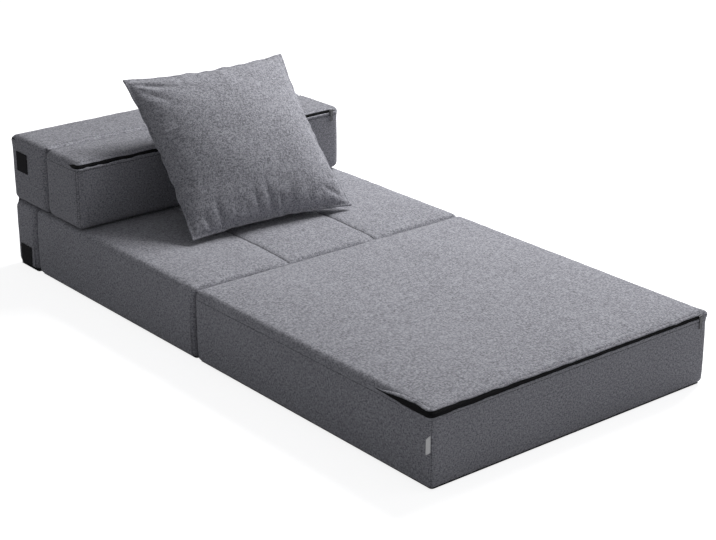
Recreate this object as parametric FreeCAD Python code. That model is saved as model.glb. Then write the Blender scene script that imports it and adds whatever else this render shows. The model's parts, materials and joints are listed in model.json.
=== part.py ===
"""Convertible chair bed: five cover-and-foam blocks joined by fabric hinges, and a loose throw pillow.

Millimetres. +X to the user's right, +Y to the rear, +Z up, origin on the floor under the middle.
The front section lies at -Y, the seat and its rear spacer at +Y, the two back blocks on top of them.
"""
import FreeCAD
import Part
import math
import os

V = FreeCAD.Vector

# driving dimensions
WIDTH = 800.0            # every block, left to right
BLOCK_H = 173.0          # front section, seat and spacer, floor to sewn top edge
FRONT_L = 800.0          # front section, foot end to fold
SEAT_L = 698.0           # seat, fold to spacer
SPACER_L = 107.0         # rear spacer
BACK_H = 171.0           # both back blocks
REAR_BLOCK_D = 170.0     # back block over the spacer
FRONT_BLOCK_D = 159.0    # back block over the seat
SEAM_GAP = 2.0           # half the open gap at the seat fold
NEIGHBOUR = 0.5          # half the gap between blocks that touch softly
LIFT = 1.2               # how far the back blocks' undersides stand over the seat's edge height
COVER_T = 3.0            # cover cloth with its lining
BASE_T = 2.0             # non-slip underside panel
SIDE_BULGE = 3.0         # how far a side swells out between its drawn-in edges
TOP_CROWN = 7.0          # how far a top swells over its edges
CHANNELS = 3             # sewn lobes across the seat
CHANNEL_DIP = 3.0        # how far a sewn valley lies under the seat's edge height
EDGE_R = 12.0            # rounding round a block's ends
ZIP_TAPE_W = 11.0
ZIP_TAPE_T = 0.9
ZIP_COIL_W = 6.0
ZIP_DROP = 9.0           # centre of a zip under its block's top edge
ZIP_DEPTH = 2.0          # recess in the cover for the tape
ZIP_END = 14.0           # where a zip stops, short of the right side
SLIDER_W = 12.0
SLIDER_H = 9.0
SLIDER_BACK = 0.7        # the slider's back and front, out of the cover
SLIDER_FRONT = 2.9
PULL_FRONT = 4.0
PULL_W = 7.0
PULL_DROP = 26.0         # pull's lower end under the zip
PULL_EYE_W = 3.6
FRONT_ZIP_WRAP = 165.0   # how far each zip runs on round the left side
BOLSTER_ZIP_WRAP = 40.0
HEADREST_ZIP_WRAP = 25.0
PATCH = 50.0             # loop-tape squares on the sides
PATCH_T = 1.4
SPACER_PATCH_IN = 77.0   # front edge of the lower squares, from the rear
SPACER_PATCH_UP = 12.0   # their lower edge, from the floor
HEADREST_PATCH_IN = 85.0
HEADREST_PATCH_DOWN = 36.0
TAG_W = 16.0             # folded tag in the left end seam
TAG_H = 40.0
TAG_FOOT = 84.0
HINGE_END = 14.0         # hinge strips stop this far from the sides
HINGE_T = 1.4
PIPING_R = 1.5
PILLOW_SIDE = 451.0
PILLOW_FRONT_T = 84.0    # its front panel's swell at the middle
PILLOW_BACK_T = 96.0     # its back panel's
PILLOW_PINCH = 13.0      # how far a seam pulls in between its corners
PILLOW_LEAN = 45.5       # back from upright
PILLOW_YAW = -4.8
PILLOW_FOOT = (-26.0, 195.0, 192.0)   # middle of its bottom seam

# positions that follow from them
Y_FOOT = -(FRONT_L + SEAT_L + SPACER_L) / 2
Y_FOLD = Y_FOOT + FRONT_L
Y_SPACER = Y_FOLD + SEAT_L
Y_REAR = Y_SPACER + SPACER_L
Y_BACK = Y_REAR - REAR_BLOCK_D          # between the two back blocks
Y_BOLSTER = Y_BACK - FRONT_BLOCK_D      # front of the front back block
Z_TOP = BLOCK_H + BACK_H
HALF = WIDTH / 2

parts = {}


# shared builders
def arc(a, m, b):
    return Part.Arc(V(*a), V(*m), V(*b)).toShape()


def profile(y, half, z0, z1, crown, dip, lobes, bulge, r_top, r_bot):
    """One closed section across a cushion: flat base, swelling sides, a top of arcs."""
    k = 1 - math.sqrt(0.5)
    edges = [Part.makeLine(V(-half + r_bot, y, z0), V(half - r_bot, y, z0)),
             arc((half - r_bot, y, z0), (half - k * r_bot, y, z0 + k * r_bot), (half, y, z0 + r_bot)),
             arc((half, y, z0 + r_bot), (half + bulge, y, (z0 + z1) / 2), (half, y, z1 - r_top)),
             arc((half, y, z1 - r_top), (half - k * r_top, y, z1 - k * r_top), (half - r_top, y, z1))]
    span = 2 * (half - r_top)
    xs = [half - r_top - span * i / lobes for i in range(lobes + 1)]
    zs = [z1] + [z1 - dip] * (lobes - 1) + [z1]
    for i in range(lobes):
        mid = ((xs[i] + xs[i + 1]) / 2, y, max(zs[i], zs[i + 1]) + crown)
        edges.append(arc((xs[i], y, zs[i]), mid, (xs[i + 1], y, zs[i + 1])))
    edges += [arc((-half + r_top, y, z1), (-half + k * r_top, y, z1 - k * r_top), (-half, y, z1 - r_top)),
              arc((-half, y, z1 - r_top), (-half - bulge, y, (z0 + z1) / 2), (-half, y, z0 + r_bot)),
              arc((-half, y, z0 + r_bot), (-half + k * r_bot, y, z0 + k * r_bot), (-half + r_bot, y, z0))]
    return Part.Wire(edges)


def swell(share, crown):
    """Height of a crown at a share of its span: steep at the ends, flat in the middle."""
    return 0.3 + crown * math.sin(math.pi * min(max(share, 0.0), 1.0)) ** 0.6


def cushion(half, y0, y1, z0, z1, stations, inset, lobes=1, bulge=SIDE_BULGE, r=14.0):
    """Loft of profiles from y0 to y1; stations are (share of the length, crown, dip). Both ends are rounded.

    inset is how far the form is already drawn in, which its roundings lose too."""
    r, end_r = r - inset, EDGE_R - inset
    wires = [profile(y0 + t * (y1 - y0), half, z0, z1, c, d, lobes, bulge, r, r) for t, c, d in stations]
    body = Part.makeLoft(wires, True, True)
    rims = [e for f in body.Faces if f.BoundBox.YLength < 0.01 for e in f.Edges]
    return body.makeFillet(end_r, rims)


def turned(shape):
    """A cushion built along Y, laid along X instead (its +X side becomes +Y)."""
    s = shape.copy()
    s.rotate(V(0, 0, 0), V(0, 0, 1), 90)
    return s


def box(x0, x1, y0, y1, z0, z1):
    return Part.makeBox(x1 - x0, y1 - y0, z1 - z0, V(x0, y0, z0))


def rod(x0, x1, y, z, r):
    return Part.makeCylinder(r, x1 - x0, V(x0, y, z), V(1, 0, 0))


def rounded_plan(x0, x1, y0, y1, z, r):
    """A rounded rectangle as a face at height z."""
    k = 1 - math.sqrt(0.5)
    e = [Part.makeLine(V(x0 + r, y0, z), V(x1 - r, y0, z)),
         arc((x1 - r, y0, z), (x1 - k * r, y0 + k * r, z), (x1, y0 + r, z)),
         Part.makeLine(V(x1, y0 + r, z), V(x1, y1 - r, z)),
         arc((x1, y1 - r, z), (x1 - k * r, y1 - k * r, z), (x1 - r, y1, z)),
         Part.makeLine(V(x1 - r, y1, z), V(x0 + r, y1, z)),
         arc((x0 + r, y1, z), (x0 + k * r, y1 - k * r, z), (x0, y1 - r, z)),
         Part.makeLine(V(x0, y1 - r, z), V(x0, y0 + r, z)),
         arc((x0, y0 + r, z), (x0 + k * r, y0 + k * r, z), (x0 + r, y0, z))]
    return Part.Face(Part.Wire(e))


def band(half, face_y, side, outer, inner, z0, z1, wrap, right_end):
    """A strip that runs along an end face and on round the left side.

    side is -1 where the face looks to the front and +1 where it looks to the rear. outer and inner
    are how far the strip's two skins stand out of the cover."""
    far = face_y - side * (wrap + 60)
    lo, hi = min(face_y, far), max(face_y, far)

    def ring(d):
        plan = rounded_plan(-half - d, half + d, lo - d, hi + d, z0, EDGE_R + d)
        return plan.extrude(V(0, 0, z1 - z0))
    strip = ring(outer).cut(ring(inner))
    if side < 0:
        strip = strip.common(box(-half - 9, right_end, lo - 9, face_y + wrap, z0, z1))
        strip = strip.cut(box(-half + 30, half + 9, face_y + 15, hi + 9, z0, z1))
    else:
        strip = strip.common(box(-half - 9, right_end, face_y - wrap, hi + 9, z0, z1))
        strip = strip.cut(box(-half + 30, half + 9, lo - 9, face_y - 15, z0, z1))
    return strip


def zip_set(name, half, face_y, side, z, wrap, right_end):
    """Tape, coil, slider and pull of one zip. Returns the recess to cut out of the cover."""
    w = ZIP_TAPE_W / 2
    tape_top = ZIP_TAPE_T - ZIP_DEPTH
    recess = band(half, face_y, side, 6.0, -ZIP_DEPTH, z - w - 0.3, z + w + 0.3, wrap, right_end)
    tape = band(half, face_y, side, tape_top, -ZIP_DEPTH, z - w, z + w, wrap, right_end)
    coil_z = (z - ZIP_COIL_W / 2, z + ZIP_COIL_W / 2)
    coil = band(half, face_y, side, 0.3, tape_top, *coil_z, wrap - 3, right_end - 3)
    x = right_end - 16
    back, front, pull_front = (face_y + side * d for d in (SLIDER_BACK, SLIDER_FRONT, PULL_FRONT))
    slider = box(x - SLIDER_W / 2, x + SLIDER_W / 2, min(back, front), max(back, front),
                 z - SLIDER_H / 2, z + SLIDER_H / 2)
    corners = [e for e in slider.Edges if e.BoundBox.XLength < 0.01 and e.BoundBox.ZLength < 0.01]
    slider = slider.makeFillet(1.8, corners)
    lo, hi = min(front, pull_front), max(front, pull_front)
    pull = box(x - PULL_W / 2, x + PULL_W / 2, lo, hi, z - PULL_DROP, z + 2)
    pull = pull.cut(box(x - PULL_EYE_W / 2, x + PULL_EYE_W / 2, lo - 1, hi + 1, z - PULL_DROP + 3, z - 15))
    parts[name + "_zip_tape"] = tape
    parts[name + "_zip_coil"] = coil
    parts[name + "_zip_slider"] = slider
    parts[name + "_zip_pull"] = pull
    return recess


def covered(name, outer, inner, recess=None, base=True):
    """Store a block as its foam core, its cover and its underside panel."""
    bb = outer.BoundBox
    shell = outer.cut(inner)
    if recess:
        shell = shell.cut(recess)
    if base:
        slab = box(bb.XMin - 5, bb.XMax + 5, bb.YMin - 5, bb.YMax + 5,
                   bb.ZMin - 1, bb.ZMin + BASE_T)
        parts[name + "_base_panel"] = outer.common(slab)
        shell = shell.cut(slab)
    parts[name + "_cover"] = shell
    parts[name + "_core"] = inner


def pair(builder, inset_base):
    """The outer form, and the same form drawn in by the cover's thickness."""
    return builder(0.0, 0.0), builder(COVER_T, inset_base)


# front section
def front_form(t, tb):
    half = HALF - SIDE_BULGE
    shares = [0, 0.04, 0.1, 0.2, 0.35, 0.5, 0.65, 0.8, 0.9, 0.96, 1]
    return cushion(half - t, Y_FOOT + t, Y_FOLD - SEAM_GAP - t, tb, BLOCK_H - t,
                   [(u, swell(u, TOP_CROWN), 0) for u in shares], t)


outer, inner = pair(front_form, BASE_T)
front_recess = zip_set("front", HALF - SIDE_BULGE + 0.4, Y_FOOT, -1, BLOCK_H - ZIP_DROP,
                       FRONT_ZIP_WRAP, HALF - ZIP_END)
covered("front", outer, inner, front_recess)

# a folded care tag caught in the left end seam
parts["front_side_tag"] = box(-HALF - 1.4, -HALF - 0.4, Y_FOOT + 14, Y_FOOT + 14 + TAG_W,
                              TAG_FOOT, TAG_FOOT + TAG_H)


# seat
def seat_form(t, tb):
    half = HALF - SIDE_BULGE
    open_part = (Y_BOLSTER - Y_FOLD) / SEAT_L      # the back blocks press the seat flat behind this
    stations = []
    for u in (0, 0.05, 0.12, 0.25, 0.4, 0.55, 0.7, 0.82, 0.92, 0.97):
        stations.append((u * open_part, swell(u, TOP_CROWN + CHANNEL_DIP), CHANNEL_DIP * min(1, 0.2 + 8 * u)))
    stations += [(open_part + 0.012, 0.3, 0.5), (0.85, 0.3, 0.3), (1.0, 0.3, 0.3)]
    return cushion(half - t, Y_FOLD + SEAM_GAP + t, Y_SPACER - NEIGHBOUR - t, tb, BLOCK_H - NEIGHBOUR - t,
                   stations, t, lobes=CHANNELS)


outer, inner = pair(seat_form, BASE_T)
covered("seat", outer, inner)


# rear spacer
def spacer_form(t, tb):
    half = (SPACER_L - NEIGHBOUR) / 2
    s = cushion(half - 1.0 - t, -HALF + t, HALF - t, tb, BLOCK_H - NEIGHBOUR - t,
                [(0.0, 0.3, 0), (0.5, 0.3, 0), (1.0, 0.3, 0)], t, bulge=1.0)
    s = turned(s)
    s.translate(V(0, Y_REAR - half, 0))
    return s


outer, inner = pair(spacer_form, BASE_T)
covered("spacer", outer, inner)


# back blocks
def back_form(y0, y1, crown):
    def form(t, tb):
        half = (y1 - y0) / 2 - NEIGHBOUR / 2
        s = cushion(half - 2.0 - t, -HALF + t, HALF - t, BLOCK_H + LIFT + t, Z_TOP - t,
                    [(u, swell(u, crown), 0) for u in (0, 0.05, 0.12, 0.3, 0.5, 0.7, 0.88, 0.95, 1)],
                    t, bulge=2.0)
        s = turned(s)
        s.translate(V(0, (y0 + y1) / 2, 0))
        return s
    return form


outer, inner = pair(back_form(Y_BACK, Y_REAR, 3.0), 0)
headrest_recess = zip_set("headrest", HALF, Y_REAR - 1.8, 1, Z_TOP - ZIP_DROP,
                          HEADREST_ZIP_WRAP, HALF - ZIP_END)
covered("headrest", outer, inner, headrest_recess, base=False)

outer, inner = pair(back_form(Y_BOLSTER, Y_BACK, 3.0), 0)
bolster_recess = zip_set("bolster", HALF, Y_BOLSTER + 1.8, -1, Z_TOP - ZIP_DROP,
                         BOLSTER_ZIP_WRAP, HALF - ZIP_END)
covered("bolster", outer, inner, bolster_recess, base=False)

# loop-tape squares, left and right
for sign, word in ((-1, "left"), (1, "right")):
    x0, x1 = sorted((sign * HALF, sign * (HALF + PATCH_T)))
    y0 = Y_REAR - SPACER_PATCH_IN
    z0 = SPACER_PATCH_UP
    parts["spacer_patch_" + word] = box(x0, x1, y0, y0 + PATCH, z0, z0 + PATCH)
    y0 = Y_REAR - HEADREST_PATCH_IN
    z0 = Z_TOP - HEADREST_PATCH_DOWN - PATCH
    parts["headrest_patch_" + word] = box(x0, x1, y0, y0 + PATCH, z0, z0 + PATCH)

# fabric hinges, each as long as the blocks are wide between their rounded ends
LEFT, RIGHT = -HALF + HINGE_END, HALF - HINGE_END
# seat fold: a piped seam on the hinge line; the front section turns about it
parts["fold_hinge_piping"] = rod(LEFT, RIGHT, Y_FOLD, BLOCK_H - 2.0, PIPING_R)
# seat to spacer: a sewn strip across the shallow valley
parts["spacer_hinge_piping"] = rod(LEFT, RIGHT, Y_SPACER, BLOCK_H - 3.2, PIPING_R - 0.1)
# rear hinge: one strip sewn to the spacer and one to the back block, meeting at the hinge line
parts["rear_hinge_lower"] = box(LEFT, RIGHT, Y_REAR - 0.4, Y_REAR - 0.4 + HINGE_T, BLOCK_H - 26, BLOCK_H - 1)
parts["rear_hinge_upper"] = box(LEFT, RIGHT, Y_REAR - 1.5, Y_REAR - 1.5 + HINGE_T, BLOCK_H + 1, BLOCK_H + 25)
# hinge between the tops of the two back blocks, across the valley of their rounded edges
parts["back_hinge_rear"] = box(LEFT, RIGHT, Y_BACK + 1, Y_BACK + 10, Z_TOP - 1.0, Z_TOP + 0.2)
parts["back_hinge_front"] = box(LEFT, RIGHT, Y_BACK - 10, Y_BACK - 1, Z_TOP - 1.0, Z_TOP + 0.2)


# throw pillow
# each panel's swell from the bottom seam to the top one, as shares of its half height and of its depth
FRONT_SWELL = [(-1, 0), (-0.9, 0.45), (-0.7, 0.72), (0, 1), (0.7, 0.72), (0.9, 0.45), (1, 0)]
BACK_SWELL = [(-1, 0), (-0.9, 0.38), (-0.7, 0.66), (0, 1), (0.7, 0.56), (0.9, 0.28), (1, 0)]


def pillow_form(t):
    """Sections across the pillow, thin at its side seams and pinched between its four ears."""
    n = PILLOW_SIDE / 2 - t
    wires = []
    for s in (-1.0, -0.93, -0.78, -0.5, 0.0, 0.5, 0.78, 0.93, 1.0):
        reach = n - PILLOW_PINCH * (1 - s * s)
        x = s * n

        def panel(swell_points, depth):
            thick = max(abs(depth) * (1 - s * s) ** 0.55 - t, 1.0 - 0.25 * t) * math.copysign(1, depth)
            return [(x, v * thick, u * reach) for u, v in swell_points]
        front = panel(FRONT_SWELL, -PILLOW_FRONT_T)
        back = panel(BACK_SWELL, PILLOW_BACK_T)[::-1]
        wires.append(Part.Wire([arc(*side[i:i + 3]) for side in (front, back) for i in (0, 2, 4)]))
    return Part.makeLoft(wires, True, False)


def pillow_place(s):
    s = s.copy()
    s.translate(V(0, 0, PILLOW_SIDE / 2))
    s.rotate(V(0, 0, 0), V(1, 0, 0), -PILLOW_LEAN)
    s.rotate(V(0, 0, 0), V(0, 0, 1), PILLOW_YAW)
    s.translate(V(*PILLOW_FOOT))
    return s


outer, inner = pillow_form(0.0), pillow_form(2.0)
shell = outer.cut(inner)
front_half = box(-300, 300, -200, 0, -300, 300)
back_half = box(-300, 300, 0, 200, -300, 300)
parts["pillow_front_panel"] = pillow_place(shell.common(front_half))
parts["pillow_back_panel"] = pillow_place(shell.common(back_half))
parts["pillow_fill"] = pillow_place(inner)

# write
os.makedirs("parts", exist_ok=True)
for name, shape in parts.items():
    if shape.ShapeType == "Compound" and len(shape.Solids) == 1:
        shape = shape.Solids[0]
    shape.exportStep("parts/%s.step" % name)
    bb = shape.BoundBox
    print("%-22s solids %d  valid %s  volume %.1f cm3  x %.1f..%.1f  y %.1f..%.1f  z %.1f..%.1f" % (
        name, len(shape.Solids), shape.isValid(), shape.Volume / 1000,
        bb.XMin, bb.XMax, bb.YMin, bb.YMax, bb.ZMin, bb.ZMax))
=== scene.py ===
"""Convertible chair bed: zipped cloth covers on foam blocks, fabric hinges, zips, and a throw pillow."""
import json
import math

import bpy
from mathutils import Matrix, Vector, noise


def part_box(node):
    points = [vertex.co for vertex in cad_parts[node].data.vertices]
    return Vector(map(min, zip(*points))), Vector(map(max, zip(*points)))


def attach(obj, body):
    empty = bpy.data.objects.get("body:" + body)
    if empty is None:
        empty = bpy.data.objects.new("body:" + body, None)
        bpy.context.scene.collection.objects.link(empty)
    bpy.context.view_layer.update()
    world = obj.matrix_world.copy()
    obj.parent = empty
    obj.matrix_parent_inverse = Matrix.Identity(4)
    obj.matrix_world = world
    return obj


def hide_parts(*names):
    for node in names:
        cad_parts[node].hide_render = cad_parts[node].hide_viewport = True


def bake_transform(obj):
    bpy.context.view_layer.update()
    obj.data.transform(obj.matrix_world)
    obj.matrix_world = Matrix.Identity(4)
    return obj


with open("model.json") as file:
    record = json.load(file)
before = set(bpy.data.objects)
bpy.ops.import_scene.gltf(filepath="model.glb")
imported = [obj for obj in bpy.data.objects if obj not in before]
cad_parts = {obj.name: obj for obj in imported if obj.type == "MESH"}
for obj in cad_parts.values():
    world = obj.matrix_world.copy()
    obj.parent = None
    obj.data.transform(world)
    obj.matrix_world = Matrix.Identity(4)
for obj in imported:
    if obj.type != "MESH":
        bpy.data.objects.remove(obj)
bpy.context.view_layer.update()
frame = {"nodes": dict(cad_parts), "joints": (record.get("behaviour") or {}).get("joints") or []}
bpy.ops.object.select_all(action="DESELECT")
scene = bpy.context.scene


# Studio
# A pale seamless floor, a dim even room, a broad soft lamp high on the right and a weak one lower down in
# front of it. The camera has a long lens at the photograph's viewing angle, from the front left corner
# and a little above.
scene.view_settings.view_transform = "Standard"
CAMERA_PLACE = (-2.4509, -3.1024, 1.6599)
CAMERA_AZIMUTH = -39.16
CAMERA_ELEVATION = 21.26
CAMERA_LENS = 90.42
CAMERA_SENSOR = 36.0
ROOM_LIGHT = 0.222
PAPER_LIFT = 0.84
FLOOR_SIZE = 14.0
FLOOR_DROP = 0.0006
LAMP_AIM = Vector((0, 0, 0.1))

bpy.ops.object.camera_add(
    location=CAMERA_PLACE,
    rotation=(math.radians(90 - CAMERA_ELEVATION), 0, math.radians(CAMERA_AZIMUTH)))
camera = bpy.context.object
camera.data.sensor_width = CAMERA_SENSOR
camera.data.lens = CAMERA_LENS
scene.camera = camera


def white_to_eyes(tree, real, plain, output):
    """Show the plain surface to camera, glossy and transmission rays, and the real one to the rest."""
    rays = tree.nodes.new("ShaderNodeLightPath")
    eye = rays.outputs["Is Camera Ray"]
    for name in ("Is Glossy Ray", "Is Transmission Ray"):
        larger = tree.nodes.new("ShaderNodeMath")
        larger.operation = "MAXIMUM"
        tree.links.new(eye, larger.inputs[0])
        tree.links.new(rays.outputs[name], larger.inputs[1])
        eye = larger.outputs[0]
    pick = tree.nodes.new("ShaderNodeMixShader")
    tree.links.new(eye, pick.inputs[0])
    tree.links.new(real, pick.inputs[1])
    tree.links.new(plain, pick.inputs[2])
    tree.links.new(pick.outputs[0], output)


world = bpy.data.worlds.new("studio")
scene.world = world
world.use_nodes = True
tree = world.node_tree
tree.nodes.clear()
room = tree.nodes.new("ShaderNodeBackground")
room.inputs["Color"].default_value = (0.97, 0.98, 1.0, 1)
room.inputs["Strength"].default_value = ROOM_LIGHT
white = tree.nodes.new("ShaderNodeBackground")
white.inputs["Color"].default_value = (1, 1, 1, 1)
white_to_eyes(tree, room.outputs[0], white.outputs[0],
              tree.nodes.new("ShaderNodeOutputWorld").inputs["Surface"])

bpy.ops.mesh.primitive_plane_add(size=FLOOR_SIZE, location=(0, 0, -FLOOR_DROP))
floor = bpy.context.object
floor.name = "studio_floor"
paper = bpy.data.materials.new("studio paper")
paper.use_nodes = True
tree = paper.node_tree
tree.nodes.clear()
matt = tree.nodes.new("ShaderNodeBsdfDiffuse")
matt.inputs["Color"].default_value = (0.58, 0.58, 0.59, 1)
lift = tree.nodes.new("ShaderNodeEmission")
lift.inputs["Color"].default_value = (1, 1, 1, 1)
lift.inputs["Strength"].default_value = PAPER_LIFT
both = tree.nodes.new("ShaderNodeAddShader")
tree.links.new(matt.outputs[0], both.inputs[0])
tree.links.new(lift.outputs[0], both.inputs[1])
white_to_eyes(tree, matt.outputs[0], both.outputs[0],
              tree.nodes.new("ShaderNodeOutputMaterial").inputs["Surface"])
floor.data.materials.append(paper)


def soft_lamp(name, place, size, power):
    """A square softbox that looks at the bed."""
    bpy.ops.object.light_add(type="AREA", location=place)
    lamp = bpy.context.object
    lamp.name = name
    lamp.data.size = size
    lamp.data.energy = power
    lamp.rotation_euler = (LAMP_AIM - Vector(place)).to_track_quat("-Z", "Y").to_euler()


soft_lamp("overhead_softbox", (2.0, 0.40, 2.5), 1.5, 107)
soft_lamp("right_softbox", (2.3, -2.4, 1.3), 1.6, 5)


# Front section
# The largest block: a foam core in a zipped cloth cover. It lies on the floor and hinges on the seat's
# front top seam. How its cloth and its cover are made comes first, and the other pieces use it too.

# The cloth is a heathered grey linen-look weave. Light and dark yarns of uneven thickness cross each
# other, so it reads as flecks a few millimetres long, and sewn lines sink into it.
CLOTH_LIGHT = (0.46, 0.46, 0.505, 1)
CLOTH_DARK = (0.150, 0.150, 0.170, 1)
# Sewn lines are painted towards this near black, as painted shade in their grooves.
SEAM_PAINTED_SHADE = (0.012, 0.012, 0.014, 1)
THREAD = 0.0013
FLECK = 0.0027


def maths(tree, op, a, b=None, clamp=False):
    """One Math node, its inputs numbers or sockets."""
    n = tree.nodes.new("ShaderNodeMath")
    n.operation = op
    n.use_clamp = clamp
    for i, v in enumerate((a, b)):
        if isinstance(v, (int, float)):
            n.inputs[i].default_value = v
        elif v is not None:
            tree.links.new(v, n.inputs[i])
    return n.outputs[0]


def either(tree, mask, yes, no):
    """yes where the mask is 1 and no where it is 0."""
    return maths(tree, "ADD", no, maths(tree, "MULTIPLY", mask, maths(tree, "SUBTRACT", yes, no)))


def new_group(name, ins, outs):
    """A shader node group with its sockets, and its input and output nodes."""
    t = bpy.data.node_groups.new(name, "ShaderNodeTree")
    for socket, kind, value in ins:
        s = t.interface.new_socket(name=socket, in_out="INPUT", socket_type="NodeSocket" + kind)
        if value is not None:
            s.default_value = value
    for socket, kind in outs:
        t.interface.new_socket(name=socket, in_out="OUTPUT", socket_type="NodeSocket" + kind)
    return t, t.nodes.new("NodeGroupInput"), t.nodes.new("NodeGroupOutput")


def make_weave():
    """The cloth's colour, height and roughness, from flecks drawn out along the two yarn directions."""
    t, gi, go = new_group(
        "heathered weave",
        [("Place", "Vector", None), ("Facing", "Vector", None), ("Light", "Color", CLOTH_LIGHT),
         ("Dark", "Color", CLOTH_DARK)],
        [("Color", "Color"), ("Height", "Float"), ("Roughness", "Float")])
    link = t.links.new
    place = t.nodes.new("ShaderNodeSeparateXYZ")
    link(gi.outputs["Place"], place.inputs[0])
    facing = t.nodes.new("ShaderNodeSeparateXYZ")
    link(gi.outputs["Facing"], facing.inputs[0])
    up = maths(t, "GREATER_THAN", maths(t, "ABSOLUTE", facing.outputs[2]), 0.70)
    side = maths(t, "GREATER_THAN", maths(t, "ABSOLUTE", facing.outputs[0]), 0.70)
    across = either(t, side, place.outputs[1], place.outputs[0])
    along = either(t, up, place.outputs[1], place.outputs[2])
    panel = maths(t, "ADD", up, maths(t, "MULTIPLY", side, 3.0))

    def yarns(stretch_a, stretch_b, size, detail):
        """Noise drawn out along one yarn direction: a stretch under 1 makes a longer fleck."""
        c = t.nodes.new("ShaderNodeCombineXYZ")
        link(maths(t, "MULTIPLY", across, stretch_a), c.inputs[0])
        link(maths(t, "MULTIPLY", along, stretch_b), c.inputs[1])
        link(panel, c.inputs[2])
        n = t.nodes.new("ShaderNodeTexNoise")
        n.inputs["Scale"].default_value = 1.0 / size
        n.inputs["Detail"].default_value = detail
        n.inputs["Roughness"].default_value = 0.6
        link(c.outputs[0], n.inputs["Vector"])
        return maths(t, "SUBTRACT", n.outputs["Fac"], 0.5)
    yarn = maths(t, "ADD", yarns(0.45, 1.2, FLECK, 1.5), yarns(1.2, 0.45, FLECK, 1.5))
    fine = yarns(1.0, 1.0, THREAD, 1.0)
    broad = yarns(1.0, 1.0, 0.16, 2.0)
    ticks = [maths(t, "SINE", maths(t, "MULTIPLY", v, math.pi / THREAD)) for v in (across, along)]
    weave = maths(t, "MULTIPLY", ticks[0], ticks[1])
    mix = maths(t, "ADD", maths(t, "MULTIPLY", yarn, 1.9), maths(t, "MULTIPLY", fine, 1.9))
    mix = maths(t, "ADD", mix, maths(t, "MULTIPLY", weave, 0.07))
    mix = maths(t, "ADD", mix, maths(t, "MULTIPLY", broad, 0.22))
    blend = t.nodes.new("ShaderNodeMix")
    blend.data_type = "RGBA"
    link(maths(t, "ADD", mix, 0.5, clamp=True), blend.inputs["Factor"])
    link(gi.outputs["Dark"], blend.inputs["A"])
    link(gi.outputs["Light"], blend.inputs["B"])
    link(blend.outputs["Result"], go.inputs["Color"])
    height = maths(t, "ADD", maths(t, "MULTIPLY", weave, 0.35), maths(t, "MULTIPLY", yarn, 1.4))
    link(height, go.inputs["Height"])
    link(maths(t, "ADD", 0.88, maths(t, "MULTIPLY", fine, 0.2)), go.inputs["Roughness"])
    return t


def make_stitches():
    """A row of stitches where Distance is zero, in a thin groove."""
    t, gi, go = new_group(
        "stitched line",
        [("Distance", "Float", 1.0), ("Run", "Float", 0.0), ("Where", "Float", 1.0),
         ("Half Width", "Float", 0.0014), ("Pitch", "Float", 0.005)],
        [("Mask", "Float")])
    near = maths(t, "DIVIDE", maths(t, "ABSOLUTE", gi.outputs["Distance"]), gi.outputs["Half Width"])
    line = maths(t, "SUBTRACT", 1.0, near, clamp=True)
    turns = maths(t, "DIVIDE", gi.outputs["Run"], gi.outputs["Pitch"])
    beat = maths(t, "SINE", maths(t, "MULTIPLY", turns, 2 * math.pi))
    bite = maths(t, "ADD", 0.72, maths(t, "MULTIPLY", beat, 0.28))
    t.links.new(maths(t, "MULTIPLY", maths(t, "MULTIPLY", line, bite), gi.outputs["Where"]),
                go.inputs["Mask"])
    return t


weave_group = make_weave()
stitch_group = make_stitches()


def blank_material(name, roughness=0.9):
    """A material with a Principled shader, and what is needed to add to it."""
    mat = bpy.data.materials.new(name)
    mat.use_nodes = True
    t = mat.node_tree
    t.nodes.clear()
    skin = t.nodes.new("ShaderNodeBsdfPrincipled")
    skin.inputs["Roughness"].default_value = roughness
    t.links.new(skin.outputs[0], t.nodes.new("ShaderNodeOutputMaterial").inputs["Surface"])
    return mat, t, skin


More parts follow.
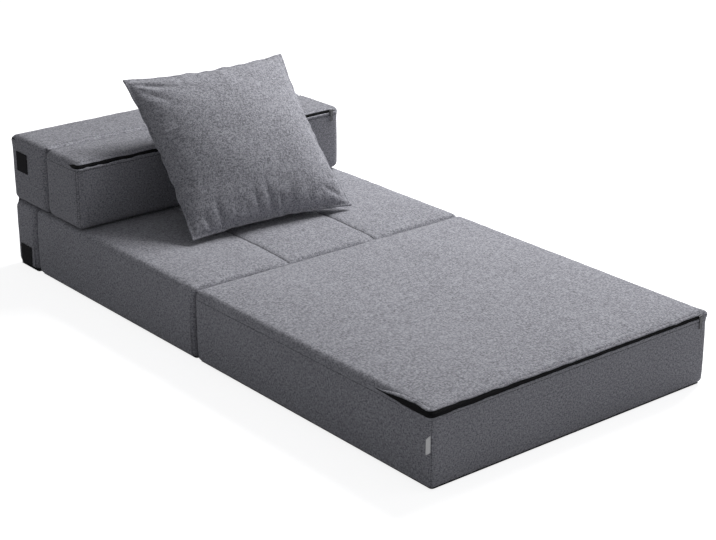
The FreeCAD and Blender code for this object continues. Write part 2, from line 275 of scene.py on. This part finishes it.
def cloth_material(name, lines=(), turn=None, light=CLOTH_LIGHT, dark=CLOTH_DARK):
    """Cover cloth with its sewn lines. Each line is a function of the tree and the place's X, Y and Z that
    gives the distance from the line, the run along it and where it is sewn. turn is the place and angles
    of a piece that lies turned, so that the weave turns with it."""
    mat, t, skin = blank_material(name)
    link = t.links.new
    skin.inputs["Specular IOR Level"].default_value = 0.2
    skin.inputs["Sheen Weight"].default_value = 0.08
    skin.inputs["Sheen Roughness"].default_value = 0.5
    coord = t.nodes.new("ShaderNodeTexCoord")
    place, facing = coord.outputs["Object"], coord.outputs["Normal"]
    if turn is not None:
        at, angles = turn
        turned = []
        for source, shift in ((place, at), (facing, (0, 0, 0))):
            m = t.nodes.new("ShaderNodeMapping")
            m.vector_type = "TEXTURE"
            m.inputs["Location"].default_value = shift
            m.inputs["Rotation"].default_value = angles
            link(source, m.inputs["Vector"])
            turned.append(m.outputs[0])
        place, facing = turned
    cloth = t.nodes.new("ShaderNodeGroup")
    cloth.node_tree = weave_group
    cloth.inputs["Light"].default_value = light
    cloth.inputs["Dark"].default_value = dark
    link(place, cloth.inputs["Place"])
    link(facing, cloth.inputs["Facing"])
    xyz = t.nodes.new("ShaderNodeSeparateXYZ")
    link(place, xyz.inputs[0])
    sewn = None
    for line in lines:
        distance, run, where = line(t, *xyz.outputs)
        g = t.nodes.new("ShaderNodeGroup")
        g.node_tree = stitch_group
        link(distance, g.inputs["Distance"])
        link(run, g.inputs["Run"])
        link(where, g.inputs["Where"])
        sewn = g.outputs[0] if sewn is None else maths(t, "MAXIMUM", sewn, g.outputs[0])
    color, height = cloth.outputs["Color"], cloth.outputs["Height"]
    # The sewn lines darken the colour towards near black, as painted shade in their grooves, and dent the
    # height.
    if sewn is not None:
        shade = t.nodes.new("ShaderNodeMix")
        shade.data_type = "RGBA"
        link(maths(t, "MULTIPLY", sewn, 0.9), shade.inputs["Factor"])
        link(color, shade.inputs["A"])
        shade.inputs["B"].default_value = SEAM_PAINTED_SHADE
        color = shade.outputs["Result"]
        height = maths(t, "SUBTRACT", height, maths(t, "MULTIPLY", sewn, 2.5))
    bump = t.nodes.new("ShaderNodeBump")
    bump.inputs["Strength"].default_value = 0.5
    bump.inputs["Distance"].default_value = 0.0007
    link(color, skin.inputs["Base Color"])
    link(cloth.outputs["Roughness"], skin.inputs["Roughness"])
    link(height, bump.inputs["Height"])
    link(bump.outputs[0], skin.inputs["Normal"])
    return mat


# A cover has a top and a base panel sewn to a band that goes round it. The sides swell between the
# seams, the seams pull in and pucker, and the cloth ripples a little where it isn't tight.
CELLS = 99
LOW_CELLS = 24
ROUND = 0.013
BACK_ROUND = 0.018
PUCKER = 0.026
EAR = 0.0045
EDGE_CLOSENESS = 0.34
LONG_PUCKER = 0.14
CROWN_RUN = 0.045
CHANNEL_CUT = 0.005
CHANNEL_SINK = 0.035
CHANNEL_PUCKER = 0.024
PRESS_RUN = 0.05
PRESS_START = 0.004
SEAM_PULL = 0.014
EAR_REACH = 0.016
FOOT_REACH = 0.034
JOINED_LEAN = 0.006


def smooth(a, b, x):
    """0 up to a, 1 from b on, and an even curve between them."""
    t = max(0.0, min(1.0, (x - a) / (b - a)))
    return t * t * (3 - 2 * t)


def closer(x, knots):
    """Move grid lines closer to the knots, where the seams are."""
    for a, b in zip(knots, knots[1:]):
        if x <= b + 1e-9:
            break
    t = 2 * (x - a) / (b - a) - 1
    t = t * (1 + EDGE_CLOSENESS) - EDGE_CLOSENESS * t ** 3
    return a + (b - a) * (t + 1) / 2


def cloth_block(name, lo, hi, counts, x_knots=None):
    """A finely divided box, with its place in its mesh and finer cells near the seams."""
    size = hi - lo
    bpy.ops.mesh.primitive_cube_add(size=1.0)
    obj = bpy.context.object
    obj.name = name
    obj.data.transform(Matrix.Translation((lo + hi) / 2) @ Matrix.Diagonal((*size, 1)))
    mesh = obj.data
    for axis in range(3):
        bpy.ops.object.mode_set(mode="EDIT")
        bpy.ops.mesh.select_all(action="DESELECT")
        bpy.ops.object.mode_set(mode="OBJECT")
        for e in mesh.edges:
            a, b = (mesh.vertices[i].co for i in e.vertices)
            e.select = abs(a[axis] - b[axis]) > 0.5 * size[axis]
        bpy.ops.object.mode_set(mode="EDIT")
        bpy.ops.mesh.select_mode(type="EDGE")
        bpy.ops.mesh.subdivide(number_cuts=counts[axis] - 1)
        bpy.ops.object.mode_set(mode="OBJECT")
    bpy.ops.object.select_all(action="DESELECT")
    for v in mesh.vertices:
        for axis in range(3):
            knots = x_knots if axis == 0 and x_knots else (lo[axis], hi[axis])
            v.co[axis] = closer(v.co[axis], knots)
    return obj


def shape_block(obj, lo, hi, seed, crown, swell, joined_end=0, channels=(), pressed_from=None, ears=(),
                soft_foot=0.007, radius=ROUND):
    """Round the edges, swell the panels, draw in the seams and ripple the cloth.

    crown and swell are how far the top, and the sides along X and Y, swell. joined_end is +1 or -1 where
    the block is sewn to a neighbour at that end of Y. channels are the X places of sewn lines in the top,
    pressed_from is the Y past which something stands on it, ears are the (X, Y) signs of top corners that
    stand out in a point, soft_foot is how far a bottom corner gives way, and radius is the edges' own."""
    mid = (lo + hi) / 2
    half = (hi - lo) / 2
    for v in obj.data.vertices:
        p = v.co.copy()
        q = p - mid
        core = Vector([max(-half[i] + radius, min(half[i] - radius, q[i])) for i in range(3)])
        off = q - core
        n = off.normalized()
        if sum(1 for i in range(3) if abs(off[i]) > 1e-6) > 1:
            q = core + n * radius
        u = Vector([q[i] / half[i] for i in range(3)])
        wave = noise.noise(p / PUCKER + Vector((seed, seed, seed)))
        long_wave = noise.noise(p / LONG_PUCKER + Vector((seed, 2 * seed, 0)))
        reach = max(0.0, min((1 - abs(u.x)) * half.x, (1 - abs(u.y)) * half.y))
        rise = crown * (1 - math.exp(-reach / CROWN_RUN))
        for x in channels:
            d = abs(p.x - x)
            rise -= (crown * 0.25 + 0.0018) * math.exp(-(d / CHANNEL_CUT) ** 2)
            rise -= crown * 0.30 * math.exp(-(d / CHANNEL_SINK) ** 2)
            rise += 0.0016 * wave * math.exp(-(d / CHANNEL_PUCKER) ** 2)
        rise += 0.0013 * wave * math.exp(-reach / 0.020)
        rise += 0.0016 * long_wave * min(1.0, reach / 0.05)
        if pressed_from is not None:
            rise *= 1 - smooth(pressed_from - PRESS_RUN, pressed_from - PRESS_START, p.y)
        q.z += smooth(0.55, 1.0, n.z) * rise
        belly = math.sqrt(max(0.0, 1 - u.z * u.z))
        seam = math.exp(-(1 - abs(u.z)) * half.z / SEAM_PULL)
        ripple = (0.0010 * long_wave * belly
                  + 0.0012 * wave * (0.3 + seam) * smooth(1.0, 0.9, abs(u.z) - 0.02))
        ends = Vector((n.x * (swell[0] * belly + ripple), n.y * (swell[1] * belly + ripple), 0))
        if joined_end and n.y * joined_end > 0.3:
            ends = Vector((ends.x, -joined_end * JOINED_LEAN * (1 - (u.z + 1) / 2), 0))
        q += ends
        corner = Vector((abs(abs(q.x) - half.x), abs(abs(q.y) - half.y), abs(q.z - half.z))).length
        signs = (math.copysign(1, q.x), math.copysign(1, q.y))
        if q.z > 0 and signs in ears:
            q += Vector((*signs, 0.35)) * EAR * math.exp(-(corner / EAR_REACH) ** 2)
        if q.z < 0:
            q -= Vector((*signs, -0.3)) * soft_foot * math.exp(-(corner / FOOT_REACH) ** 2)
        v.co = mid + q


def dress(obj, material, body, *nodes, fill=0.85):
    """Smooth the finished cover and hand it to the body it is on."""
    bpy.context.view_layer.objects.active = obj
    obj.select_set(True)
    bpy.ops.object.shade_smooth()
    bpy.ops.object.select_all(action="DESELECT")
    obj.data.materials.clear()
    obj.data.materials.append(material)
    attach(obj, body)
    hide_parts(*nodes)


def level_line(level):
    """A line of stitches that goes round a block at one height."""
    def line(t, x, y, z):
        return maths(t, "SUBTRACT", z, level), maths(t, "ADD", x, y), maths(t, "LESS_THAN", z, level + 0.01)
    return line


def side_line(y_at):
    """A line of stitches down both sides of a block."""
    def line(t, x, y, z):
        return maths(t, "SUBTRACT", y, y_at), z, maths(t, "GREATER_THAN", maths(t, "ABSOLUTE", x), 0.3935)
    return line


def corner_line(block_lo, block_hi, way):
    """A seam down a front corner: the left one where way is -1, the right one where it is 1."""
    at = block_lo.x if way < 0 else block_hi.x

    def line(t, x, y, z):
        inwards = maths(t, "MULTIPLY", maths(t, "SUBTRACT", x, at), -way)
        back = maths(t, "SUBTRACT", y, block_lo.y)
        in_x = maths(t, "LESS_THAN", inwards, ROUND)
        where = maths(t, "MULTIPLY", in_x, maths(t, "LESS_THAN", back, ROUND))
        return maths(t, "SUBTRACT", inwards, back), z, where
    return line


def channel_line(x_at, over, before):
    """A line of stitches in a block's top, from its front edge to where the back stands."""
    def line(t, x, y, z):
        where = maths(t, "MULTIPLY", maths(t, "GREATER_THAN", z, over), maths(t, "LESS_THAN", y, before))
        return maths(t, "SUBTRACT", x, x_at), y, where
    return line


TOP_STITCH = 0.020
CORNER_STITCH = 0.010
BLOCK_TOP = 0.173
FLOOR_GAP = 0.0022
fl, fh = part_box("front_cover")
front_lo = Vector((fl.x + 0.0038, fl.y + 0.0008, FLOOR_GAP))
front_hi = Vector((fh.x - 0.0038, fh.y, BLOCK_TOP))
front_cover = cloth_block("front_cover_cloth", front_lo, front_hi, (CELLS, CELLS, LOW_CELLS))
shape_block(front_cover, front_lo, front_hi, seed=3.1, crown=0.0070, swell=(0.0030, 0.0010),
            joined_end=1, ears=((1, -1),))
front_lines = [level_line(BLOCK_TOP - TOP_STITCH)]
front_lines += [corner_line(front_lo, front_hi, way) for way in (-1, 1)]
dress(front_cover, cloth_material("front cover cloth", front_lines), "front_section",
      "front_cover", "front_core")


# Seat
# A shorter block behind it, sewn through the top in two lines from front to back that make three lobes.
# The back blocks press its rear flat.
CHANNEL_X = 0.1277
CHANNEL_TWIN = 0.0024
CHANNEL_OVER = 0.12
sl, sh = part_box("seat_cover")
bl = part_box("bolster_cover")[0]
seat_lo = Vector((sl.x + 0.0034, sl.y, FLOOR_GAP))
seat_hi = Vector((sh.x - 0.0034, sh.y, BLOCK_TOP - 0.0005))
seat_cover = cloth_block("seat_cover_cloth", seat_lo, seat_hi, (CELLS, CELLS, LOW_CELLS),
                         (seat_lo.x, -CHANNEL_X, CHANNEL_X, seat_hi.x))
shape_block(seat_cover, seat_lo, seat_hi, seed=7.7, crown=0.0085, swell=(0.0030, 0.0), joined_end=-1,
            channels=(-CHANNEL_X, CHANNEL_X), pressed_from=bl.y)
seat_lines = [channel_line(side * CHANNEL_X + twin, CHANNEL_OVER, bl.y)
              for side in (-1, 1) for twin in (-CHANNEL_TWIN, CHANNEL_TWIN)]
dress(seat_cover, cloth_material("seat cover cloth", seat_lines), "seat", "seat_cover", "seat_core")


# Rear spacer and back blocks
# Three narrow blocks as wide as the seat: one behind it, and two on top that fold back to make the bed.
# The two on top have their cloth colours scaled a little darker. This is painted shade, which only corrects
# for the lamps, and nothing shows that the real cloth differs.
def narrow_block(name, node, body, seed, crown, bottom, top, painted_shade_scale=1.0, stitched=False, ears=(), joined_end=0):
    """One of the narrow blocks, dressed. Its cloth's colours are scaled by a factor, darker as painted shade
    on the back blocks.
    """
    lo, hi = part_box(node + "_cover")
    lo = Vector((lo.x + 0.0012, lo.y + 0.0024, bottom))
    hi = Vector((hi.x - 0.0012, hi.y - 0.0024, top))
    obj = cloth_block(name, lo, hi, (CELLS, LOW_CELLS, LOW_CELLS))
    shape_block(obj, lo, hi, seed, crown, (0.0003, 0.0020), joined_end, ears=ears, radius=BACK_ROUND)
    lines = []
    if stitched:
        lines = [level_line(top - TOP_STITCH), side_line(lo.y + CORNER_STITCH), corner_line(lo, hi, -1)]
    # The cloth colours are scaled darker here, as painted shade.
    light, dark = [tuple(c * painted_shade_scale for c in shade[:3]) + (1,) for shade in (CLOTH_LIGHT, CLOTH_DARK)]
    cloth = cloth_material(name.replace("_", " "), lines, light=light, dark=dark)
    dress(obj, cloth, body, node + "_cover", node + "_core")


BACK_TOP = 0.344
BACK_FOOT = 0.1745
# Painted shade on the two back blocks: their cloth colours are scaled down to this share.
BACK_PAINTED_SHADE = 0.86
narrow_block("spacer_cover_cloth", "spacer", "seat", seed=11.0, crown=0.0, bottom=FLOOR_GAP,
             top=BLOCK_TOP - 0.0008, joined_end=-1)
narrow_block("headrest_cover_cloth", "headrest", "headrest", seed=17.0, crown=0.004, bottom=BACK_FOOT,
             top=BACK_TOP, painted_shade_scale=BACK_PAINTED_SHADE, ears=((-1, 1), (1, 1)))
narrow_block("bolster_cover_cloth", "bolster", "bolster", seed=23.0, crown=0.004, bottom=BACK_FOOT,
             top=BACK_TOP, painted_shade_scale=BACK_PAINTED_SHADE, stitched=True, ears=((1, -1),))


# Zips
# Each large cover opens along a black coil zip just under its top seam, which turns the left corner. The
# tape lies between two folded lips of the cover, and the slider is parked at the right end.
ZIP_DROP = 0.009
CORNER_R = 0.012
ZIP_WAVER = 0.0011
ZIP_STEP = 0.004
BAND_T = 0.0006
BAND_PROUD = 0.0009
COIL_RIDGE = 0.0007
TEETH_PITCH = 0.0022


def zip_route(half, face, side, wrap, right_end):
    """A function from a distance along the zip to a place in plan and the way out, and its length."""
    straight, quarter = wrap - CORNER_R, CORNER_R * math.pi / 2

    def at(s):
        if s < straight:
            return Vector((-half, face - side * (wrap - s), 0)), Vector((-1, 0, 0))
        s -= straight
        if s < quarter:
            n = Vector((-math.cos(s / CORNER_R), side * math.sin(s / CORNER_R), 0))
            return Vector((-half + CORNER_R, face - side * CORNER_R, 0)) + n * CORNER_R, n
        return Vector((-half + CORNER_R + s - quarter, face, 0)), Vector((0, side, 0))
    return at, straight + quarter + right_end + half - CORNER_R


def strip(name, at, length, steps, rows, shape, thickness):
    """A strip that follows a route. shape(s, b) gives its height and how far it stands out."""
    bpy.ops.mesh.primitive_grid_add(x_subdivisions=steps, y_subdivisions=rows, size=2.0)
    obj = bpy.context.object
    obj.name = name
    for v in obj.data.vertices:
        s, b = (v.co.x + 1) / 2 * length, v.co.y
        place, out = at(s)
        z, proud = shape(s, b)
        v.co = Vector((place.x, place.y, z)) + out * proud
    bpy.ops.object.mode_set(mode="EDIT")
    bpy.ops.mesh.select_all(action="SELECT")
    bpy.ops.mesh.normals_make_consistent(inside=False)
    bpy.ops.object.mode_set(mode="OBJECT")
    m = obj.modifiers.new("Solidify", "SOLIDIFY")
    m.thickness = thickness
    m.offset = 0
    bpy.ops.object.modifier_apply(modifier=m.name)
    bpy.ops.object.shade_smooth()
    bpy.ops.object.select_all(action="DESELECT")
    return obj


def edge_inset(z, top, radius):
    """How far a block's rounded top edge draws in at a height."""
    d = min(max(0.0, z - (top - radius)), radius * 0.98)
    return radius - math.sqrt(radius * radius - d * d)


def make_zip_black():
    """Black tape, with the coil's teeth across it."""
    mat, t, skin = blank_material("zip tape and coil", 0.85)
    skin.inputs["Specular IOR Level"].default_value = 0.08
    coord = t.nodes.new("ShaderNodeTexCoord")
    xyz = t.nodes.new("ShaderNodeSeparateXYZ")
    t.links.new(coord.outputs["Object"], xyz.inputs[0])
    run = maths(t, "ADD", xyz.outputs[0], xyz.outputs[1])
    teeth = maths(t, "SINE", maths(t, "MULTIPLY", run, 2 * math.pi / TEETH_PITCH))
    ramp = t.nodes.new("ShaderNodeMix")
    ramp.data_type = "RGBA"
    t.links.new(maths(t, "ADD", maths(t, "MULTIPLY", teeth, 0.5), 0.5), ramp.inputs["Factor"])
    ramp.inputs["A"].default_value = (0.0025, 0.0025, 0.003, 1)
    ramp.inputs["B"].default_value = (0.009, 0.009, 0.010, 1)
    t.links.new(ramp.outputs["Result"], skin.inputs["Base Color"])
    bump = t.nodes.new("ShaderNodeBump")
    bump.inputs["Strength"].default_value = 0.6
    bump.inputs["Distance"].default_value = 0.0005
    t.links.new(teeth, bump.inputs["Height"])
    t.links.new(bump.outputs[0], skin.inputs["Normal"])
    return mat


zip_black = make_zip_black()
lip_cloth = cloth_material("zip lip cloth")


def fit_zip(name, node, body, half, face, side, wrap, top, radius, thick, thin, seed):
    """The tape with its coil, and the folded lips over and under it."""
    right_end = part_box(node + "_zip_tape")[1].x
    at, length = zip_route(half, face, side, wrap, right_end)
    middle = top - ZIP_DROP

    def half_height(s):
        """Half the height that the band shows, which narrows at both ends and away from the corner."""
        fade = smooth(0.0, min(0.10, wrap * 0.6), s) * (1 - 0.4 * smooth(length - 0.02, length, s))
        wide = thick + (thin - thick) * smooth(wrap, wrap + 0.35, s)
        return wide * fade * (1 + 0.22 * noise.noise(Vector((s * 38, seed, 0)))) + 0.0002

    def waver(s):
        """How far the zip strays from its level."""
        return ZIP_WAVER * noise.noise(Vector((s * 24, seed, 7)))

    def tape(s, b):
        z = middle + waver(s) + b * half_height(s)
        ridge = COIL_RIDGE * (1 - smooth(0.25, 0.55, abs(b)))
        return z, BAND_PROUD + ridge - edge_inset(z, top, radius)

    def lip(way):
        """The cover's folded edge over the band where way is 1, and under it where way is -1."""
        def shape(s, b):
            roll = (0.0016 if way > 0 else 0.0022) * smooth(0.0, 0.05, s) + 0.0004
            z = middle + waver(s) + way * (half_height(s) + roll * 0.7) + b * roll
            bend = math.sqrt(max(0.0, 1 - b * b))
            ripple = 0.0004 * noise.noise(Vector((s * 30, way, seed)))
            return z, roll * bend + ripple - edge_inset(z, top, radius)
        return shape
    steps = int(length / ZIP_STEP)
    band = strip(name + "_tape", at, length, steps, 8, tape, BAND_T)
    band.data.materials.append(zip_black)
    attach(band, body)
    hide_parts(node + "_zip_tape", node + "_zip_coil")
    for word, way in (("upper", 1), ("lower", -1)):
        fold = strip(name + "_lip_" + word, at, length, steps, 6, lip(way), BAND_T)
        fold.data.materials.append(lip_cloth)
        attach(fold, body)


fit_zip("front_zip", "front", "front_section", half=0.3995, face=front_lo.y, side=-1, wrap=0.165,
        top=BLOCK_TOP, radius=ROUND, thick=0.0060, thin=0.0034, seed=2.0)
fit_zip("bolster_zip", "bolster", "bolster", half=0.3988, face=bl.y + 0.0024, side=-1, wrap=0.040,
        top=BACK_TOP, radius=BACK_ROUND, thick=0.0042, thin=0.0032, seed=5.0)
fit_zip("headrest_zip", "headrest", "headrest", half=0.3988, face=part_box("headrest_cover")[1].y - 0.0024,
        side=1, wrap=0.025, top=BACK_TOP, radius=BACK_ROUND, thick=0.0040, thin=0.0032, seed=8.0)


# Fabric hinges
# Doubled strips of the cover cloth, sewn to the two blocks that they join and folded at the line between
# them: one in the fold before the seat, one behind the spacer and the rear back block, and one between
# the tops of the two back blocks.
HINGE_HALF = 0.386
HINGE_T = 0.0012
HINGE_SLACK = 0.0004
DIP_SHARE = 0.4
hinge_cloth = cloth_material("hinge cloth")


def hinge_strip(name, place, out, half_width, dip, nodes):
    """A strip across the bed, bent in along its middle. out is the way that its width runs."""
    def at(s):
        return Vector((s - HINGE_HALF, place[0], 0)), out
    flat = out.y != 0

    def shape(s, b):
        slack = HINGE_SLACK * noise.noise(Vector((s * 40, place[0] * 9, 0)))
        sink = dip * math.exp(-(b / DIP_SHARE) ** 2)
        if flat:
            return place[1] - sink + slack, b * half_width
        return place[1] + b * half_width, 0.0
    obj = strip(name, at, 2 * HINGE_HALF, 150, 12, shape, HINGE_T)
    if not flat:
        for v in obj.data.vertices:
            v.co.y -= dip * math.exp(-((v.co.z - place[1]) / (DIP_SHARE * half_width)) ** 2)
    obj.data.materials.append(hinge_cloth)
    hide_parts(*nodes)
    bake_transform(obj)


joint_place = {j["name"]: j["pos_m"] for j in frame["joints"] if j["type"] == "hinge"}
FOLD_Y = joint_place["front_section_fold"][1]
REAR_Y = joint_place["headrest_flip"][1]
BACK_Y = joint_place["bolster_turn"][1]
hinge_strip("fold_hinge_strip", (FOLD_Y, 0.1655), Vector((0, 1, 0)), 0.007, 0.0030,
            ("fold_hinge_piping",))
hinge_strip("rear_hinge_strip", (REAR_Y - 0.0025, BLOCK_TOP), Vector((1, 0, 0)), 0.022, 0.0045,
            ("rear_hinge_lower", "rear_hinge_upper"))
hinge_strip("back_hinge_strip", (BACK_Y, BACK_TOP - 0.0012), Vector((0, 1, 0)), 0.0105, 0.0040,
            ("back_hinge_rear", "back_hinge_front"))


# Throw pillow
# Two square panels sewn edge to edge round a soft fill. The seam is a knife edge that the fill pulls in
# between the corners, which stand out as ears, and the cloth gathers along it.
PILLOW_HALF = 0.2255
PILLOW_PINCH = 0.013
PILLOW_LEAN = math.radians(45.5)
PILLOW_YAW = math.radians(-4.8)
PILLOW_FOOT = Vector((-0.026, 0.195, 0.192))
PILLOW_FRONT_T = 0.078
PILLOW_BACK_T = 0.090
PILLOW_CELLS = 160
PILLOW_LIP = 0.030
SEAM_T = 0.0022
GATHER_DEPTH = 0.020
PILLOW_RIPPLE = 0.05
SEAM_WAVE = 0.004


def gathers(a, b, seed):
    """Folds that run in from the seam, strongest just inside it."""
    total = 0.0
    for along, inwards, key in ((a, 1 - abs(b), 0.0), (b, 1 - abs(a), 40.0)):
        n = noise.noise(Vector((along * 7.0 + key + seed, inwards * 2.2, seed)))
        m = noise.noise(Vector((along * 17.0 + key, inwards * 3.0, seed + 5)))
        cluster = 0.35 + 1.5 * max(0.0, noise.noise(Vector((along * 2.4 + key, seed, 3.0))))
        fade = math.exp(-inwards / 0.13) * (1 - math.exp(-inwards / 0.03))
        total += fade * cluster * (0.9 * n + 0.4 * m)
    return total


# Single creases as the photograph shows them: from a place on the seam inwards, with a width and a depth.
CREASES = (
    ((0.00, -0.96), (-0.05, -0.60), 0.030, 0.0070),
    ((-0.15, -0.96), (-0.21, -0.68), 0.028, 0.0060),
    ((0.13, -0.96), (0.08, -0.72), 0.026, 0.0045),
    ((-0.62, -0.96), (-0.68, -0.64), 0.030, 0.0065),
    ((-0.78, -0.95), (-0.83, -0.74), 0.026, 0.0050),
    ((-0.93, 0.92), (-0.45, 0.70), 0.036, 0.0065),
    ((-0.95, 0.86), (-0.60, 0.45), 0.040, 0.0030),
    ((0.94, -0.92), (0.60, -0.74), 0.032, 0.0040))


def creases(a, b):
    """How deep the creases are at a place in the front panel."""
    total = 0.0
    for (a0, b0), (a1, b1), width, depth in CREASES:
        run_a, run_b = a1 - a0, b1 - b0
        t = ((a - a0) * run_a + (b - b0) * run_b) / (run_a ** 2 + run_b ** 2)
        t = max(0.0, min(1.0, t))
        away = math.hypot(a - a0 - t * run_a, b - b0 - t * run_b)
        total += depth * math.exp(-(away / width) ** 2) * (1 - smooth(0.3, 1.0, t))
    return total


bpy.ops.mesh.primitive_grid_add(x_subdivisions=PILLOW_CELLS, y_subdivisions=PILLOW_CELLS, size=2.0)
pillow = bpy.context.object
pillow.name = "pillow_cloth"
bpy.ops.object.mode_set(mode="EDIT")
bpy.ops.mesh.select_all(action="SELECT")
bpy.ops.mesh.extrude_region_move(TRANSFORM_OT_translate={"value": (0, 0, 1.0)})
bpy.ops.mesh.select_all(action="SELECT")
bpy.ops.mesh.normals_make_consistent(inside=False)
bpy.ops.object.mode_set(mode="OBJECT")
bpy.ops.object.select_all(action="DESELECT")
for v in pillow.data.vertices:
    a, b = v.co.x, v.co.y
    is_front = v.co.z > 0.5
    depth = PILLOW_FRONT_T if is_front else PILLOW_BACK_T
    seed = 4.0 if is_front else 9.0
    full_a, full_b = (min(1.0, abs(c) / (1 - PILLOW_LIP)) for c in (a, b))
    swell = ((1 - full_a ** 2) ** 0.52) * ((1 - full_b ** 2) ** 0.55)
    ripple = noise.noise(Vector((a * 2.2, b * 2.2, seed))) * PILLOW_RIPPLE * swell
    inside = min(1.0, swell * 4)
    z = SEAM_T + depth * (swell + ripple) + GATHER_DEPTH * gathers(a, b, seed) * inside
    if is_front:
        z -= creases(a, b) * inside
    pinch = PILLOW_PINCH * (1 + 0.35 * noise.noise(Vector((a * 7, b * 7, 1.0))))
    wavy = SEAM_WAVE * noise.noise(Vector((a * 5, b * 5, 20.0))) * max(abs(a), abs(b)) ** 6
    v.co = Vector((a * (PILLOW_HALF - pinch * (1 - b * b)), b * (PILLOW_HALF - pinch * (1 - a * a)),
                   (z if is_front else -z) + wavy))
turn = Matrix.Rotation(PILLOW_YAW, 4, "Z") @ Matrix.Rotation(math.pi / 2 - PILLOW_LEAN, 4, "X")
pillow.data.transform(Matrix.Translation(PILLOW_FOOT) @ turn @ Matrix.Translation((0, PILLOW_HALF, 0)))
dress(pillow, cloth_material("pillow cloth", turn=(PILLOW_FOOT, turn.to_euler())), "pillow",
      "pillow_front_panel", "pillow_back_panel", "pillow_fill", fill=0.7)


# Tag
# A short length of white tape, folded double and caught in the front left corner seam, where it stands out.
# It is bare: what is printed on it in the photograph is left out. Its CAD node lies flat, a little behind.
TAG_OUT = Vector((-0.98, -0.19, 0))
TAG_REACH = 0.0150
TAG_LOW, TAG_HIGH = 0.084, 0.120
TAG_T = 0.0011
TAG_CURL = 0.0012


def tag_route(s):
    """Out from the seam, bending a little."""
    start = Vector((front_lo.x + 0.0005, front_lo.y + 0.0040, 0))
    return start + TAG_OUT * s, Vector((TAG_OUT.y, -TAG_OUT.x, 0))


def tag_shape(s, b):
    """Its height is a little less at the folded end, and it curls."""
    narrow = 1 - 0.10 * (s / TAG_REACH) ** 3
    z = (TAG_LOW + TAG_HIGH) / 2 + b * narrow * (TAG_HIGH - TAG_LOW) / 2
    return z, -TAG_CURL * math.sin(s / TAG_REACH * 2.4)


def fleck_material(name, low, high, size, roughness, metallic=0.0, bump_height=0.0003):
    """A surface that varies between two colours over a few millimetres or less."""
    mat, t, skin = blank_material(name, roughness)
    skin.inputs["Metallic"].default_value = metallic
    skin.inputs["Specular IOR Level"].default_value = 0.5 if metallic else 0.12
    coord = t.nodes.new("ShaderNodeTexCoord")
    n = t.nodes.new("ShaderNodeTexNoise")
    n.inputs["Scale"].default_value = 1.0 / size
    n.inputs["Detail"].default_value = 3.0
    t.links.new(coord.outputs["Object"], n.inputs["Vector"])
    mix = t.nodes.new("ShaderNodeMix")
    mix.data_type = "RGBA"
    t.links.new(n.outputs["Fac"], mix.inputs["Factor"])
    mix.inputs["A"].default_value = (*low, 1)
    mix.inputs["B"].default_value = (*high, 1)
    t.links.new(mix.outputs["Result"], skin.inputs["Base Color"])
    bump = t.nodes.new("ShaderNodeBump")
    bump.inputs["Strength"].default_value = 0.5
    bump.inputs["Distance"].default_value = bump_height
    t.links.new(n.outputs["Fac"], bump.inputs["Height"])
    t.links.new(bump.outputs[0], skin.inputs["Normal"])
    return mat


tag = strip("side_tag_loop", tag_route, TAG_REACH, 12, 16, tag_shape, TAG_T)
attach(tag, "front_section")
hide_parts("front_side_tag")
tag.data.materials.append(
    fleck_material("tag tape", (0.86, 0.86, 0.86), (0.95, 0.95, 0.95), 0.0012, 0.8))


# Small parts
# The sliders and pulls, loop-tape squares, undersides and the seam behind the seat are right as they are
# made, and get their finishes here: cast metal, black loops, dark non-slip cloth, and the cover's own.
finishes = {
    "_zip_slider": fleck_material("slider metal", (0.05, 0.05, 0.052), (0.09, 0.09, 0.095), 0.002, 0.35, 1.0),
    "_zip_pull": fleck_material("pull metal", (0.05, 0.05, 0.052), (0.09, 0.09, 0.095), 0.002, 0.35, 1.0),
    "_patch_": fleck_material("loop tape", (0.004, 0.004, 0.005), (0.016, 0.016, 0.018), 0.0014, 0.95,
                              bump_height=0.0009),
    "_base_panel": fleck_material("underside cloth", (0.012, 0.012, 0.013), (0.035, 0.035, 0.038),
                                  0.0018, 0.85),
    "spacer_hinge": hinge_cloth,
}
for name, node in frame["nodes"].items():
    for word, material in finishes.items():
        if word in name:
            node.data.materials.clear()
            node.data.materials.append(material)
